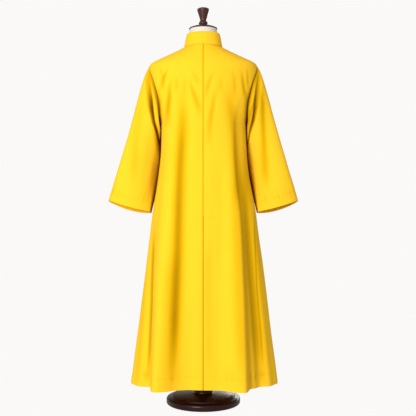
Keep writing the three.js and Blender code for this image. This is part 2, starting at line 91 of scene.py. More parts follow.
SLEEVE_TUCK = {"in": 15.0, "forward": 66.0, "fullness": 1.36}
SLEEVE_LENGTH = 600.0
SLEEVE_RADIUS = 80.0
SLEEVE_SEAM_GAP = 0.36
UNDERARM_EASE = {"from": 20.0, "over": 40.0}
LAP = 20.0
UNDERLAP = {"full": -23.0, "start": -52.0, "depth": CLOTH + 0.8}
BUTTON = {"count": 12, "radius": 8.0, "height": 5.0, "standoff": 0.5, "top_z": 1458.0, "spacing": 95.0}

# Half widths and depths of the garment's body at each height, and how square its section is.
BODY_COLUMNS = ("z", "left", "right", "back", "front", "square")
BODY = [
    (88, 311, 319, 151, 146, 2.2),
    (400, 269, 280, 146, 142, 2.2),
    (790, 221, 230, 139, 137, 2.2),
    (1086, 182, 186, 134, 133, 2.2),
    (1190, 180, 182, 133, 131, 2.2),
    (1230, 191, 192, 133, 131, 2.15),
    (1270, 204, 204, 132, 130, 2.1),
    (1320, 218, 218, 130, 126, 2.1),
    (1380, 229, 229, 125, 117, 2.05),
    (1420, 233, 233, 119, 106, 2),
    (1447, 230, 230, 113, 95, 2),
    (1460, 216, 216, 108, 87, 2),
    (1469, 197, 197, 105, 82, 2),
    (1486, 160, 160, 98, 74, 2),
    (1503, 122, 122, 90, 66, 2),
    (1522, 84, 84, 81, 59, 2),
    (1541, 46, 46, 69, 52, 2),
]

# Hanging folds: the crest's angle at the hem and at its top end, 0 at the wearer's left and 90 at the back, the
# top end's height, the reach before the crest in degrees at the hem and at the top, the reach after it, and how
# far it stands out at the hem. Hollows are negative.
FOLDS = [
    (56, 48, 1330, 11, 38, 22, 60),
    (43, 14, 900, 13, 13, 9, -14),
    (82, 74, 1330, 9, 9, 8, -6),
    (117, 131, 1330, 20, 20, 10, 60),
    (138, 144, 1280, 9, 9, 13, -15),
    (160, 162, 780, 10, 10, 12, -4),
    (19, 16, 780, 10, 10, 11, -4),
    (196, 195, 780, 11, 11, 10, -12),
    (219, 224, 1100, 12, 12, 10, -14),
    (238, 232, 1260, 12, 12, 21, 50),
    (302, 309, 1260, 21, 21, 12, 46),
    (321, 318, 1100, 10, 10, 12, -14),
    (344, 345, 780, 11, 11, 10, -12),
]
FOLD_GROWTH = 1.15

# The crease behind each sleeve's head: degrees round the sleeve, share of its length, and depth.
SLEEVE_CREASE = [
    (20, 0.02, 3), (42, 0.055, 8), (54, 0.08, 10), (70, 0.12, 12), (82, 0.165, 12), (102, 0.2, 11),
    (125, 0.205, 8), (150, 0.24, 4), (170, 0.29, 0),
]
SLEEVE_CREASE_REACH = 28.0

# ---- Creases too small for the solids

# Each row is a path of (x, z), seen square from behind or in front and from top to bottom, then the half width,
# the depth (negative stands out) and the tone of painted shade (negative is painted light). On a sleeve x is
# measured outwards.

BACK_CREASES = [
    # the wearer's left shoulder blade, from the armhole to the centre
    ([(184, 1444), (176, 1412), (167, 1372)], 5, 1.4, 0.12),
    ([(142, 1428), (153, 1404), (162, 1384), (168, 1360), (174, 1318)], 8, 3.2, 0.3),
    ([(119, 1390), (128, 1366), (134, 1344), (137, 1316), (138, 1292), (143, 1262), (148, 1202),
      (150, 1150)], 11, 3.8, 0.32),
    ([(104, 1391), (105, 1350), (106, 1310)], 11, 1.4, 0.1),
    ([(84, 1386), (80, 1330), (76, 1270), (75, 1204), (80, 1108), (86, 990), (89, 850), (93, 620),
      (99, 440), (107, 250), (112, 80)], 22, 6.5, 0.47),
    ([(72, 1392), (71, 1340), (70, 1282)], 12, 1.2, 0.07),
    ([(60, 1394), (50, 1360), (38, 1322), (22, 1280), (10, 1240), (4, 1190)], 12, 2.8, 0.2),
    ([(52, 1424), (37, 1398), (23, 1370), (6, 1334)], 9, 1.6, 0.11),
    # the wearer's right
    ([(-60, 1420), (-40, 1382), (-27, 1352), (-19, 1316), (-14, 1272)], 10, 2.2, 0.15),
    ([(-70, 1372), (-62, 1322), (-52, 1290), (-43, 1240), (-34, 1180), (-28, 1070)], 13, 2.4, 0.16),
    ([(-75, 1408), (-79, 1354), (-80, 1290)], 11, 1.2, 0.08),
    ([(-112, 1372), (-116, 1318), (-122, 1280), (-130, 1230), (-136, 1180), (-142, 1128), (-146, 1040),
      (-150, 960), (-152, 800)], 24, 3.4, 0.24),
    ([(-168, 1130), (-176, 1040), (-183, 960), (-189, 880), (-196, 760), (-208, 610), (-222, 420),
      (-236, 250), (-244, 70)], 23, 6.0, 0.36),
    ([(-126, 1430), (-135, 1370), (-141, 1276)], 12, 1.8, 0.13),
    ([(-162, 1434), (-167, 1390), (-173, 1350), (-179, 1316), (-186, 1270)], 9, 2.6, 0.26),
    ([(-185, 1440), (-190, 1388), (-193, 1322)], 7, 1.6, 0.18),
    # below, beside the seam and by the side folds
    ([(-33, 760), (-31, 560), (-31, 320), (-30, 110)], 16, 1.6, 0.08),
    ([(112, 700), (119, 560), (121, 455), (122, 290), (124, 164), (125, 40)], 26, 0.0, 0.15),
    ([(-136, 1000), (-145, 860), (-151, 700), (-157, 520), (-162, 360), (-168, 220), (-172, 60)], 24, 0.0, 0.2),
    ([(204, 800), (209, 700), (213, 560), (217, 420), (224, 250), (231, 70)], 5, 3.4, 0.5),
    ([(230, 640), (240, 500), (250, 350), (262, 200), (272, 60)], 16, 0.0, 0.1),
    ([(-218, 860), (-222, 716), (-229, 500), (-245, 300), (-256, 100)], 3, 1.2, 0.3),
    ([(-226, 860), (-236, 640), (-250, 420), (-264, 220), (-270, 60)], 20, 0.0, 0.12),
]
FRONT_CREASES = [
    ([(150, 1412), (163, 1372), (172, 1330)], 9, 3.5, 0.3),
    ([(-146, 1418), (-157, 1376), (-168, 1322)], 8, 3.2, 0.28),
    ([(122, 1380), (140, 1320), (150, 1240), (156, 1190)], 10, 3.0, 0.2),
    ([(-118, 1384), (-136, 1322), (-148, 1240), (-154, 1190)], 10, 3.0, 0.2),
    ([(96, 1300), (104, 1100), (112, 860), (130, 500), (144, 92)], 16, 5.0, 0.22),
    ([(-100, 1290), (-108, 1100), (-120, 860), (-140, 500), (-156, 92)], 16, 5.0, 0.22),
]
LEFT_SLEEVE_BACK = [
    ([(246, 1330), (262, 1260), (272, 1200), (280, 1120), (286, 1020), (292, 930)], 19, 2.6, 0.1),
    ([(236, 1350), (224, 1290), (212, 1245), (202, 1200)], 11, 2.0, 0.12),
    ([(208, 1216), (198, 1160), (190, 1120), (181, 1075), (173, 1020)], 14, 2.0, 0.45),
    ([(198, 1206), (189, 1168), (182, 1135), (177, 1100), (174, 1050)], 12, 0.0, 0.34),
    ([(186, 1130), (196, 1040), (208, 960), (222, 880), (232, 824)], 16, 3.0, 0.04),
    ([(216, 1120), (226, 1030), (240, 930), (252, 860)], 14, -2.5, -0.03),
]
RIGHT_SLEEVE_BACK = [
    ([(246, 1376), (256, 1330), (262, 1280), (262, 1220), (264, 1140), (266, 1060), (270, 980),
      (280, 900)], 14, 4.5, 0.32),
    ([(228, 1330), (216, 1280), (204, 1230), (194, 1180), (180, 1110)], 10, 2.0, 0.4),
    ([(186, 1130), (194, 1060), (208, 980), (222, 900), (236, 824)], 12, 2.6, 0.16),
    ([(220, 1330), (214, 1270), (206, 1200), (204, 1140)], 8, -3.0, -0.03),
]
SLEEVE_FRONT_CREASES = [
    ([(238, 1400), (236, 1350), (228, 1300), (216, 1240), (204, 1180)], 12, 6.0, 0.3),
    ([(300, 1120), (322, 1020), (338, 930)], 20, 2.0, 0.06),
]
# A path fades over a share of its length at each end. A short one also widens downwards. The painted shade lies
# to the wearer's left of the path, by a share of its half width.
SHORT_CREASE = {"below": 320.0, "fade": 0.45, "start": 0.55, "widens": 0.55, "dark": 1.25}
LONG_CREASE = {"fade": 0.25, "start": 1.0, "widens": 0.0, "dark": 1.0}
CREASE_ASIDE = 0.45

# The cloth of a sleeve's head rolls in beside the armhole seam, more so lower down, and is darkened there with
# painted shade.
SEAM_ROLL = {
    "depth": 7.0, "reach": 9.0, "wider": 13.0, "dark": 0.85, "dark_above": 0.45, "from": 40.0, "over": 50.0,
    "below_seam": 7.0, "sine_from": 0.25, "sine_over": 0.4,
}

# Painted shade darkens the cloth on the sides that lie close together, between sleeve and body.
INNER_SIDE_SHADE = {"left_from": 0.74, "right_from": 0.78, "over": 0.12, "dark": 0.85}
BODY_SIDE_SHADE = {"low": 820.0, "low_over": 80.0, "high": 1200.0, "high_over": 30.0, "reach": 24.0, "dark": 0.7}
ARMHOLE_SIDE_SHADE = {"low": 1150.0, "low_over": 40.0, "high": 1350.0, "high_over": 70.0, "reach": 22.0, "dark": 0.85}

# The smallest steps, along each of a surface's two measures, from which its slopes are taken.
BODY_STEP = (0.4, 2.0)
SLEEVE_STEP = (2.0, 0.01)
COLLAR_STEP = (1.0, 0.02)
NECK_HALVINGS = 36

# ---- Surfaces


def eased(t):
    """From 0 to 1 with level ends."""
    return t * t * (3 - 2 * t)


def ramp(value, start, over):
    """From 0 at the start to 1 at the end of a stretch, and level outside it."""
    return np.clip((value - start) / over, 0, 1)


def bump(distance, half_width):
    """A soft bump, 1 at no distance."""
    return np.exp(-((distance / half_width) ** 2))


class Profile:
    """A table's columns against height, on smooth curves that never overshoot the rows."""

    def __init__(self, names, rows):
        table = np.array(rows, float)
        self.z = table[:, 0]
        self.curves = {}
        for name, values in zip(names[1:], table.T[1:]):
            rise = np.diff(values) / np.diff(self.z)
            slope = np.empty_like(values)
            slope[0], slope[-1] = rise[0], rise[-1]
            product = rise[:-1] * rise[1:]
            total = np.where(product > 0, rise[:-1] + rise[1:], 1)
            slope[1:-1] = np.where(product > 0, 2 * product / total, 0)
            self.curves[name] = (values, slope)

    def __call__(self, name, z):
        values, slope = self.curves[name]
        place = np.clip(z, self.z[0], self.z[-1])
        i = np.clip(np.searchsorted(self.z, place, side="right") - 1, 0, len(self.z) - 2)
        step = self.z[i + 1] - self.z[i]
        t = (place - self.z[i]) / step
        bend = step * t * (1 - t) * ((1 - t) * slope[i] - t * slope[i + 1])
        return values[i] + (values[i + 1] - values[i]) * eased(t) + bend


body = Profile(BODY_COLUMNS, BODY)


def unit(v):
    return v / np.maximum(np.linalg.norm(v, axis=-1, keepdims=True), 1e-12)


def fold_depth(angle, z):
    """How far the folds carry the cloth outwards, at an angle round the body and a height."""
    total = np.zeros(np.broadcast(angle, z).shape)
    for hem, top, start, before, before_top, after, out in FOLDS:
        grown = np.clip((start - z) / (start - HEM_Z), 0, 1)
        crest = top + (hem - top) * grown
        off = np.mod(angle - crest + 180, 360) - 180
        reach = np.where(off < 0, before_top + (before - before_top) * grown, after)
        total += out * grown**FOLD_GROWTH * np.cos(np.clip(off / reach, -1, 1) * np.pi / 2) ** 2
    return total


def smooth_body(angle, z):
    """The outside of the garment's body without its folds, at an angle round it and a height."""
    angle, z = np.broadcast_arrays(np.asarray(angle, float), np.asarray(z, float))
    cos, sin = np.cos(np.radians(angle)), np.sin(np.radians(angle))
    power = 2 / body("square", z)
    half = np.where(cos < 0, body("right", z), body("left", z))
    deep = np.where(sin < 0, body("front", z), body("back", z))
    x = half * np.sign(cos) * np.abs(cos) ** power
    y = deep * np.sign(sin) * np.abs(sin) ** power
    return np.stack([x, y, z], -1)


def normal_of(surface, a, b, step_a, step_b):
    """A surface's unit normal, from its slopes over small steps."""
    along_a = surface(a + step_a, b) - surface(a - step_a, b)
    along_b = surface(a, b + step_b) - surface(a, b - step_b)
    return unit(np.cross(along_a, along_b))


def body_point(angle, z):
    """The outside of the garment's body, hanging folds included."""
    outward = normal_of(smooth_body, angle, z, *BODY_STEP)
    outward = unit(outward * np.array([1, 1, 0]))
    return smooth_body(angle, z) + outward * fold_depth(angle, z)[..., None]


def body_normal(angle, z):
    return normal_of(body_point, angle, z, *BODY_STEP)


# The quarters of the garment's body. A turn in one counts from its side seam; "angle" makes it an angle round
# the body.
QUARTERS = {
    "back_left": {"side": 1, "own": "left", "other": "right", "face": "back", "angle": lambda t: t},
    "back_right": {"side": -1, "own": "right", "other": "left", "face": "back", "angle": lambda t: 180 - t},
    "front_left": {"side": 1, "own": "left", "other": "right", "face": "front", "angle": lambda t: 360 - t},
    "front_right": {"side": -1, "own": "right", "other": "left", "face": "front", "angle": lambda t: 180 + t},
}


def turn_at(quarter, x, z):
    """The turn at which a quarter is this far from the centre line, also past it, where x is negative."""
    half = np.where(np.asarray(x) < 0, body(quarter["other"], z), body(quarter["own"], z))
    share = np.minimum(1, (np.abs(x) / half) ** (body("square", z) / 2))
    turn = np.degrees(np.arccos(share))
    return np.where(np.asarray(x) < 0, 180 - turn, turn)


def neck_at(quarter, angle):
    """Turn and height where the neckline meets the body, at angles round the neck."""
    x = NECK["side"] * np.cos(np.radians(angle))
    y = NECK[quarter["face"]] * np.sin(np.radians(angle))
    low = np.full(np.shape(angle), SHOULDER_TIP_Z)
    high = np.full(np.shape(angle), float(BODY[-1][0]))
    for _ in range(NECK_HALVINGS):
        z = (low + high) / 2
        power = body("square", z)
        out_side, out_face = np.abs(x / body(quarter["own"], z)), np.abs(y / body(quarter["face"], z))
        inside = out_side**power + out_face**power < 1
        low, high = np.where(inside, z, low), np.where(inside, high, z)
    return turn_at(quarter, x, low), low


def armhole_at(share, face):
    """Turn and height of the armhole, from the underarm at 0 to the shoulder tip at 1."""
    rise = (1 - np.cos(share * np.pi)) / 2
    swing = np.clip(np.sin(rise * np.pi), 0, 1) ** ARMHOLE_ROUNDNESS
    return ARMHOLE_SWING[face] * swing, UNDERARM_Z + (SHOULDER_TIP_Z - UNDERARM_Z) * rise


def on_strip(quarter, x, w):
    """Turn and height up a line beside the centre, from the underarm's height to the neck."""
    top = neck_at(quarter, np.degrees(np.arccos(x / NECK["side"])))[1]
    z = UNDERARM_Z + (top - UNDERARM_Z) * w
    return turn_at(quarter, x, z), z


def quarter_places(quarter, strips, u, skirt_z, w):
    """Turn and height of each place in a quarter's grid, from the hem up and from the centre to the side."""
    start = strips[-1]
    reach = turn_at(quarter, start, skirt_z)
    skirt_strips = [turn_at(quarter, x, skirt_z)[:, None] for x in strips[:-1]]
    skirt_turn = np.concatenate([*skirt_strips, (1 - u)[None, :] * reach[:, None]], 1)
    skirt_height = np.broadcast_to(skirt_z[:, None], skirt_turn.shape)
    neck_start = np.degrees(np.arccos(start / NECK["side"]))
    neck_turn, neck_z = neck_at(quarter, neck_start * (1 - np.clip(u / NECK_SHARE, 0, 1)))
    tip_z = neck_at(quarter, np.array(0.0))[1]
    shoulder_z = tip_z + (SHOULDER_TIP_Z - tip_z) * ramp(u, NECK_SHARE, 1 - NECK_SHARE)
    past = u > NECK_SHARE
    top = (np.where(past, 0, neck_turn), np.where(past, shoulder_z, neck_z))
    inner = on_strip(quarter, start, w)
    outer = armhole_at(w, quarter["face"])
    bottom = ((1 - u) * turn_at(quarter, start, UNDERARM_Z), np.full(u.shape, UNDERARM_Z))
    yoke = []
    ww, uu = w[:, None], u[None, :]
    yoke_strips = [on_strip(quarter, x, w) for x in strips[:-1]]
    for k, (b, t, i, o) in enumerate(zip(bottom, top, inner, outer)):
        corners = (1 - uu) * ((1 - ww) * i[0] + ww * i[-1]) + uu * ((1 - ww) * o[0] + ww * o[-1])
        edges = (1 - ww) * b[None, :] + ww * t[None, :] + (1 - uu) * i[:, None] + uu * o[:, None]
        yoke.append(np.concatenate([*[strip[k][:, None] for strip in yoke_strips], edges - corners], 1))
    return np.concatenate([skirt_turn, yoke[0]]), np.concatenate([skirt_height, yoke[1]])


# ---- Small shapes laid on the surfaces


WAVES = 7


def wobble(x, z, seed, across, along):
    """Soft uneven waves between -1 and 1, the same each run."""
    rng = np.random.default_rng(seed)
    total = np.zeros(np.broadcast(x, z).shape)
    for _ in range(WAVES):
        fx, fz = rng.normal(0, 1 / across), rng.normal(0, 1 / along)
        total += np.sin(2 * np.pi * (fx * x + fz * z) + rng.uniform(0, 6.28))
    return total / (WAVES / 2)


def creases(x, z, table, mirror=1):
    """Depth and painted shade from a table of creases."""
    deep = np.zeros(x.shape)
    tone = np.zeros(x.shape)
    for path, wide, depth, dark in table:
        points = np.array(path, float) * np.array([mirror, 1])
        runs = np.linalg.norm(np.diff(points, axis=0), axis=1)
        length = runs.sum()
        nearest = np.full(x.shape, 1e9)
        shaded = np.full(x.shape, 1e9)
        place = np.zeros(x.shape)
        before = 0.0
        for (ax, az), (bx, bz), run in zip(points[:-1], points[1:], runs):
            share = np.clip(((x - ax) * (bx - ax) + (z - az) * (bz - az)) / run**2, 0, 1)
            off_x, off_z = x - ax - share * (bx - ax), z - az - share * (bz - az)
            away = np.hypot(off_x, off_z)
            closer = away < nearest
            nearest = np.where(closer, away, nearest)
            shaded = np.where(closer, np.hypot(off_x - CREASE_ASIDE * wide, off_z), shaded)
            place = np.where(closer, (before + share * run) / length, place)
            before += run
        kind = SHORT_CREASE if length < SHORT_CREASE["below"] else LONG_CREASE
        taper = eased(np.clip(np.minimum(place, 1 - place) / kind["fade"], 0, 1))
        reach = wide * (kind["start"] + kind["widens"] * place)
        deep += depth * bump(nearest, reach) * taper
        # painted shade of the crease, to the wearer's left of its path
        tone += kind["dark"] * dark * bump(shaded, reach) * taper
    return deep, tone


HEM_STITCH = 50.0
CUFF_STITCH = 42.0
STITCHES = {"half_width": 2.4, "depth": 0.5, "dark": 0.04}
PUCKERS = {"size": (17, 90), "upright": 0.25, "reach": 20, "depth": 0.9, "dark": 0.24}
PUCKER_GROUPS = {"middle": 0.5, "swing": 0.9, "size": (130, 400), "seed": 3}
TURNED_EDGE = {"half_width": 3.0, "depth": 0.5}


def stitched_turn_up(distance, along, seed, puckering=1.0):
    """Depth and painted shade near a hem that is turned up and stitched, with puckers along the stitches."""
    line = bump(distance - HEM_STITCH, STITCHES["half_width"])
    pucker = wobble(along, distance * PUCKERS["upright"], seed, *PUCKERS["size"])
    pucker = pucker * bump(distance - HEM_STITCH, PUCKERS["reach"]) * puckering
    groups = wobble(along, 0 * distance, seed + PUCKER_GROUPS["seed"], *PUCKER_GROUPS["size"])
    uneven = np.clip(PUCKER_GROUPS["middle"] + PUCKER_GROUPS["swing"] * groups, 0, 1)
    deep = STITCHES["depth"] * line + PUCKERS["depth"] * pucker * uneven
    deep = deep + TURNED_EDGE["depth"] * bump(distance, TURNED_EDGE["half_width"])
    # painted shade in the stitch line's groove and in the puckers' hollows
    return deep, STITCHES["dark"] * line + PUCKERS["dark"] * np.clip(pucker, 0, 1) * uneven


def painted_side_shade(side, height, side_run):
    """Painted shade along a panel's side, between two heights."""
    above, below = (height - side["low"]) / side["low_over"], (side["high"] - height) / side["high_over"]
    return side["dark"] * np.clip(above, 0, 1) * np.clip(below, 0, 1) * bump(side_run, side["reach"])


# ---- Meshes


def run_lengths(points, axis):
    """Distance along a grid's rows (axis 1) or columns (axis 0), from its first point."""
    steps = np.linalg.norm(np.diff(points, axis=axis), axis=-1)
    zero = np.zeros_like(np.take(steps, [0], axis))
    return np.concatenate([zero, np.cumsum(steps, axis)], axis)


def grid_normals(points, ring):
    """Unit normals of a grid of points, rows upwards and columns as they come."""
    if ring:
        across = np.roll(points, -1, 1) - np.roll(points, 1, 1)
    else:
        across = np.gradient(points, axis=1)
    return unit(np.cross(across, np.gradient(points, axis=0)))


def dress(mesh, tone, uv, material):
    """Smooth faces, each point's painted shade and place in the weave, and the material."""
    mesh.polygons.foreach_set("use_smooth", np.ones(len(mesh.polygons), bool))
    shade = mesh.attributes.new("shade", "FLOAT", "POINT")
    shade.data.foreach_set("value", tone.astype(np.float32))
    corners = np.zeros(len(mesh.loops), int)
    mesh.loops.foreach_get("vertex_index", corners)
    layer = mesh.uv_layers.new(name="weave")
    layer.data.foreach_set("uv", uv[corners].ravel())
    mesh.materials.append(material)


def make_piece(name, mesh, node, place=(0, 0, 0), turn=None):
    """The visual piece of a solid, at a place in millimetres."""
    obj = placed(name, mesh)
    obj.location = [c / MM for c in place]
    if turn is not None:
        obj.rotation_mode = "QUATERNION"
        obj.rotation_quaternion = turn
    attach(obj, "root")
    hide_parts(node)
    return obj


# The range of tone: painted shade up to 1, and below 0 a faint painted light.
TONES = (-0.3, 1)


def cloth_mesh(name, outer, inner, tone, uv, material, node, ring=False):
    """A closed cloth wall between two grids of points, in millimetres."""
    rows, columns = outer.shape[:2]
    index = np.arange(rows * columns).reshape(rows, columns)
    if ring:
        index = np.concatenate([index, index[:, :1]], 1)
    far = index + rows * columns
    quads = [
        np.stack([index[:-1, :-1], index[:-1, 1:], index[1:, 1:], index[1:, :-1]], -1).reshape(-1, 4),
        np.stack([far[:-1, :-1], far[1:, :-1], far[1:, 1:], far[:-1, 1:]], -1).reshape(-1, 4),
        np.stack([index[0, :-1], far[0, :-1], far[0, 1:], index[0, 1:]], -1),
        np.stack([index[-1, :-1], index[-1, 1:], far[-1, 1:], far[-1, :-1]], -1),
    ]
    if not ring:
        quads.append(np.stack([index[:-1, 0], index[1:, 0], far[1:, 0], far[:-1, 0]], -1))
        quads.append(np.stack([index[:-1, -1], far[:-1, -1], far[1:, -1], index[1:, -1]], -1))
    faces = np.concatenate(quads)
    vertices = np.concatenate([outer.reshape(-1, 3), inner.reshape(-1, 3)]) / MM
    a, b, c = vertices[faces[:, 0]], vertices[faces[:, 1]], vertices[faces[:, 2]]
    if np.einsum("ij,ij->i", a, np.cross(b, c)).sum() < 0:
        faces = faces[:, ::-1]
    mesh = bpy.data.meshes.new(name)
    mesh.from_pydata(vertices.tolist(), [], faces.tolist())
    rim = np.zeros((rows, columns), bool)
    rim[0], rim[-1] = True, True
    if not ring:
        rim[:, 0], rim[:, -1] = True, True
    rim = np.tile(rim.ravel(), 2)
    ends = np.zeros(len(mesh.edges) * 2, int)
    mesh.edges.foreach_get("vertices", ends)
    ends = ends.reshape(-1, 2)
    same_side = (ends[:, 0] < rows * columns) == (ends[:, 1] < rows * columns)
    sharp = mesh.attributes.new("sharp_edge", "BOOLEAN", "EDGE")
    sharp.data.foreach_set("value", rim[ends[:, 0]] & rim[ends[:, 1]] & same_side)
    both = np.tile(uv.reshape(-1, 2), (2, 1)) / MM
    dress(mesh, np.tile(np.clip(tone, *TONES).ravel(), 2), both, material)
    return make_piece(name, mesh, node)


NEAR_STOP = np.array([1.2, 2.6, 4.6, 7.5])
NEAR_SHARE = 0.3


def spread(stops, pitch):
    """Places from the first stop to the last, closer together near each stop."""
    places = [stops[0]]
    for a, b in zip(stops[:-1], stops[1:]):
        span = b - a
        edge = NEAR_STOP[NEAR_STOP < span * NEAR_SHARE]
        inner = np.linspace(a, b, max(2, int(round(span / pitch)) + 1))[1:-1]
        inner = inner[(inner > a + edge.max(initial=0) + 1) & (inner < b - edge.max(initial=0) - 1)]
        places += [*(a + edge), *inner, *(b - edge[::-1]), b]
    return np.array(places)


# Sewn lines: half width, depth and tone of painted shade in their groove. Waves: depth, seed and size across
# and along.
SEAM = (2.0, 1.1, 0.5)
CENTRE_SEAM = {"line": (1.9, 0.9, 0.5), "darker": 0.2, "below": 800}
FRONT_STITCH = {"line": (1.2, 0.5, 0.25), "in": 6}
HEM_PUCKERS = {"back": (11, 1.0), "front": (12, 0.45)}
BODY_WAVES = {"depth": 0.8, "seed": 5, "size": (90, 420), "top": 1400, "over": 300, "least": 0.2}
SLEEVE_WAVES = {"depth": 0.7, "seed": 31, "size": (80, 300)}
COLLAR_WAVES = {"depth": 0.6, "seed": 8, "size": (70, 60)}
CUFF_PUCKER_SEED = 21
SLEEVE_GRID = {"turn": 3.75, "row": 6.0}
FACING_EDGE = 3
# Painted shade in the crease behind each sleeve's head, half as dark at small turns and more where the crease
# is deep.
SLEEVE_CREASE_SHADE = {"above": 0.5, "turn": (50, 45), "deepest": 12, "power": 0.8}
# The armhole seam on a sleeve: half width, painted shade in its groove, and the reach within which the cloth
# lies flat.
SLEEVE_SEAM = {"half_width": 2.0, "dark": 0.3, "flat_within": 5}
PANEL = {"width": 420.0, "column": 6.0, "row": 6.5, "yoke": 300, "yoke_row": 5.0, "past": 12, "below": 2}


def make_panel(name, strips, material, sink=None):
    """A back or a front, from the hem to the neck, with lines of points beside its centre edge."""
    quarter = QUARTERS[name]
    back = quarter["face"] == "back"
    outwards = 1 if back else -1
    width = PANEL["width"]
    u = spread([0, width * NECK_SHARE, width], PANEL["column"]) / width
    skirt_z = spread([HEM_Z, HEM_Z + HEM_STITCH, UNDERARM_Z + PANEL["past"]], PANEL["row"])
    skirt_z = skirt_z[:-len(NEAR_STOP) - 1]
    skirt_z = skirt_z[skirt_z < UNDERARM_Z - PANEL["below"]]
    w = spread([0, PANEL["yoke"]], PANEL["yoke_row"]) / PANEL["yoke"]
    turn, z = quarter_places(quarter, strips, u, skirt_z, w)
    angle = quarter["angle"](turn)
    points = body_point(angle, z)
    normals = body_normal(angle, z)
    x, height = points[..., 0], points[..., 2]
    deep, tone = creases(x, height, BACK_CREASES if back else FRONT_CREASES)
    across = run_lengths(points, 1)
    up = run_lengths(points, 0)
    hem_deep, hem_tone = stitched_turn_up(up, across, *HEM_PUCKERS[quarter["face"]])
    deep, tone = deep + hem_deep, tone + hem_tone
    waves = wobble(x, height, BODY_WAVES["seed"], *BODY_WAVES["size"])
    calmer = np.clip((BODY_WAVES["top"] - height) / BODY_WAVES["over"], BODY_WAVES["least"], 1)
    deep += BODY_WAVES["depth"] * waves * calmer
    side_run = across[:, -1:] - across
    top_run = up[-1:, :] - up
    shoulder_from = len(strips) - 1 + np.searchsorted(u, NECK_SHARE)
    on_top = np.broadcast_to(np.arange(points.shape[1]) >= shoulder_from, x.shape)
    seam_width, seam_depth, seam_tone = SEAM
    seams = np.maximum(bump(side_run, seam_width), bump(top_run, seam_width) * on_top)
    if back:
        line_width, line_depth, line_tone = CENTRE_SEAM["line"]
        middle = bump(across, line_width)
        # painted shade in the centre seam's groove, darker below a height
        darker = CENTRE_SEAM["darker"] * (height < CENTRE_SEAM["below"])
        deep, tone = deep + line_depth * middle, tone + (line_tone + darker) * middle
        # painted shade beside the armhole
        tone = tone + painted_side_shade(ARMHOLE_SIDE_SHADE, height, side_run)
    else:
        line_width, line_depth, line_tone = FRONT_STITCH["line"]
        stitch = bump(across - FRONT_STITCH["in"], line_width) * (strips[0] < 0)
        deep, tone = deep + line_depth * stitch, tone + line_tone * stitch
    # painted shade in the seams' grooves
    deep, tone = deep + seam_depth * seams, tone + seam_tone * seams
    # painted shade along the side, where sleeve and body lie close
    tone = tone + painted_side_shade(BODY_SIDE_SHADE, height, side_run)
    if sink is not None:
        deep += sink(x)
    outer = points - normals * deep[..., None]
    shoulder = np.zeros(x.shape, bool)
    shoulder[-1] = on_top[-1]
    shoulder[:, -1] = True
    outer[..., 1] += np.where(shoulder, outwards * SEAM_GAP / 2, 0)
    if strips[0] == 0:
        outer[:, 0, 0] = quarter["side"] * SEAM_GAP / 2
    facing = grid_normals(outer, False)
    facing *= np.sign(np.einsum("ijk,ijk->ij", facing, normals))[..., None]
    inner = outer - facing * CLOTH
    return cloth_mesh(name + "_cloth", outer, inner, tone, np.stack([across, up], -1), material, name)


def sleeve_crease_depth(turn, along):
    deepest = np.zeros(np.broadcast(turn, along).shape)
    here = np.stack(np.broadcast_arrays(np.radians(turn) * SLEEVE_RADIUS, along * SLEEVE_LENGTH), -1)
    for a, b in zip(SLEEVE_CREASE[:-1], SLEEVE_CREASE[1:]):
        start = np.array([math.radians(a[0]) * SLEEVE_RADIUS, a[1] * SLEEVE_LENGTH])
        run = np.array([math.radians(b[0]) * SLEEVE_RADIUS, b[1] * SLEEVE_LENGTH]) - start
        share = np.clip((here - start) @ run / (run @ run), 0, 1)
        away = np.linalg.norm(here - start - share[..., None] * run, axis=-1) / SLEEVE_CREASE_REACH
        shape = np.where(away < 1, np.cos(np.clip(away, 0, 1) * np.pi / 2) ** 2, 0)
        deepest = np.maximum(deepest, (a[2] + (b[2] - a[2]) * share) * shape)
    return deepest


def armhole_seam(side, turn):
    turn = np.mod(turn, 360)
    share = np.abs(180 - turn) / 180
    back_turn, z = armhole_at(share, "back")
    front_turn = armhole_at(share, "front")[0]
    names = ("back_left", "front_left") if side > 0 else ("back_right", "front_right")
    on_back = QUARTERS[names[0]]["angle"](back_turn)
    on_front = QUARTERS[names[1]]["angle"](front_turn)
    return np.where(turn <= 180, on_back, on_front), z


def sleeve_point(side, turn, along):
    turn, along = np.broadcast_arrays(np.asarray(turn, float), np.asarray(along, float))
    angle, z = armhole_seam(side, turn)
    top = body_point(angle, z)
    cos, sin = np.cos(np.radians(turn)), np.sin(np.radians(turn))
    inner_x = CUFF["left_x"] if side > 0 else CUFF["right_x"]
    cuff = np.stack([
        side * (inner_x + (CUFF["outer_x"] - inner_x) * (1 + cos) / 2),
        CUFF["centre_y"] + CUFF["half_depth"] * sin,
        CUFF["inner_z"] + (CUFF["outer_z"] - CUFF["inner_z"]) * (1 + cos) / 2
        - CUFF["sag"] * sin**2 + CUFF["front_drop"] * sin,
    ], -1)
    head = (along / SLEEVE_HEAD["along"]) * np.exp(1 - along / SLEEVE_HEAD["along"])
    point = top + (cuff - top) * along[..., None]
    tuck = np.clip(np.sin(along * np.pi), 0, 1) ** SLEEVE_TUCK["fullness"]
    inwards = SLEEVE_TUCK["in"] * tuck * np.maximum(0, -cos)
    point[..., 0] += side * (SLEEVE_HEAD["out"] * head * np.maximum(0, cos) - inwards)
    point[..., 1] -= SLEEVE_TUCK["forward"] * tuck * (1 - cos) / 2
    return point


